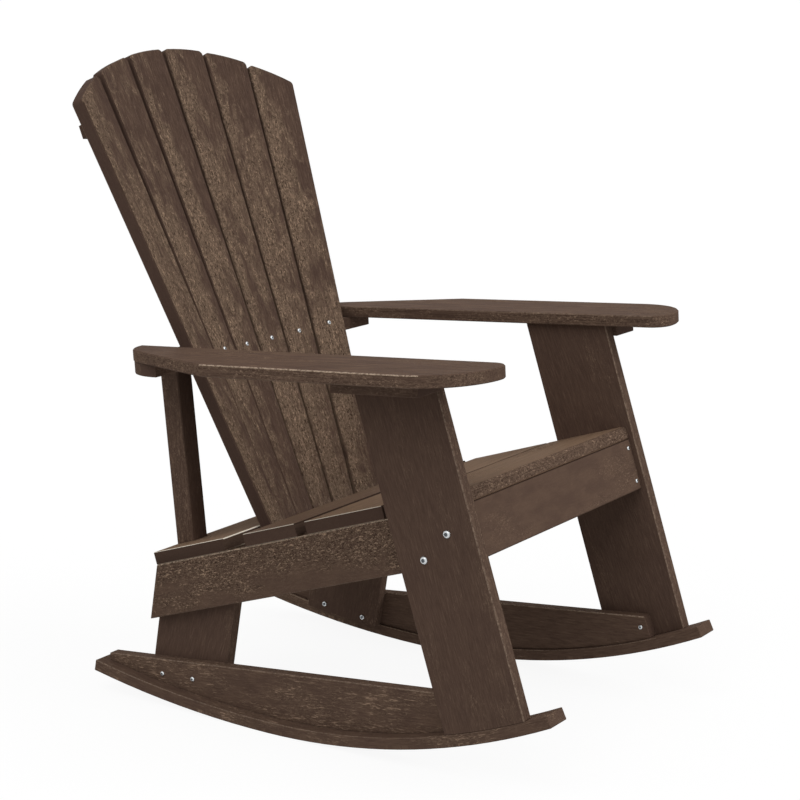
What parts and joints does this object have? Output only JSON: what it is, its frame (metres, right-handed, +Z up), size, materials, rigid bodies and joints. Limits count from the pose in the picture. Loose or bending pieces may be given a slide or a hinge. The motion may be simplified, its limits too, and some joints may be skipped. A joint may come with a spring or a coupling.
{
  "type": "rocking adirondack chair",
  "caption": "Rocking adirondack chair in dark brown plastic lumber with embossed grain: fanned curved back, broad flat arms, sloping slatted seat, bent runners, steel bolts.",
  "frame": {"origin": "On the floor at the lowest points of the runners, under the middle of the chair's bounding box", "axes": "+Z up, -Y the way the sitter looks, +X to the sitter's left"},
  "size_m": [0.778, 0.9836, 1.0963],
  "materials": {
    "brown_lumber": "Dark chocolate brown recycled plastic lumber with an embossed wood grain along each board, a low sheen and slightly paler worn edges",
    "stainless_steel": "Plain satin stainless steel"
  },
  "bodies": {
    "root": {"left_runner_tread": "brown_lumber", "right_runner_tread": "brown_lumber", "left_runner_board": "brown_lumber", "right_runner_board": "brown_lumber", "left_side_rail": "brown_lumber", "right_side_rail": "brown_lumber", "left_front_leg": "brown_lumber", "right_front_leg": "brown_lumber", "left_rear_leg": "brown_lumber", "right_rear_leg": "brown_lumber", "left_arm": "brown_lumber", "right_arm": "brown_lumber", "left_arm_bracket": "brown_lumber", "right_arm_bracket": "brown_lumber", "left_back_post": "brown_lumber", "right_back_post": "brown_lumber", "left_back_slat_1": "brown_lumber", "right_back_slat_1": "brown_lumber", "left_back_slat_2": "brown_lumber", "right_back_slat_2": "brown_lumber", "left_back_slat_3": "brown_lumber", "right_back_slat_3": "brown_lumber", "front_apron": "brown_lumber", "front_seat_slat": "brown_lumber", "wide_seat_slat": "brown_lumber", "narrow_seat_slat": "brown_lumber", "rear_seat_board": "brown_lumber", "cross_rail": "brown_lumber", "upper_brace": "brown_lumber", "leg_bolts": "stainless_steel", "leg_bolt_nuts": "stainless_steel", "runner_bolts": "stainless_steel", "runner_bolt_nuts": "stainless_steel", "runner_front_screws": "stainless_steel", "apron_screws": "stainless_steel", "back_screws": "stainless_steel"}
  },
  "joints": []
}
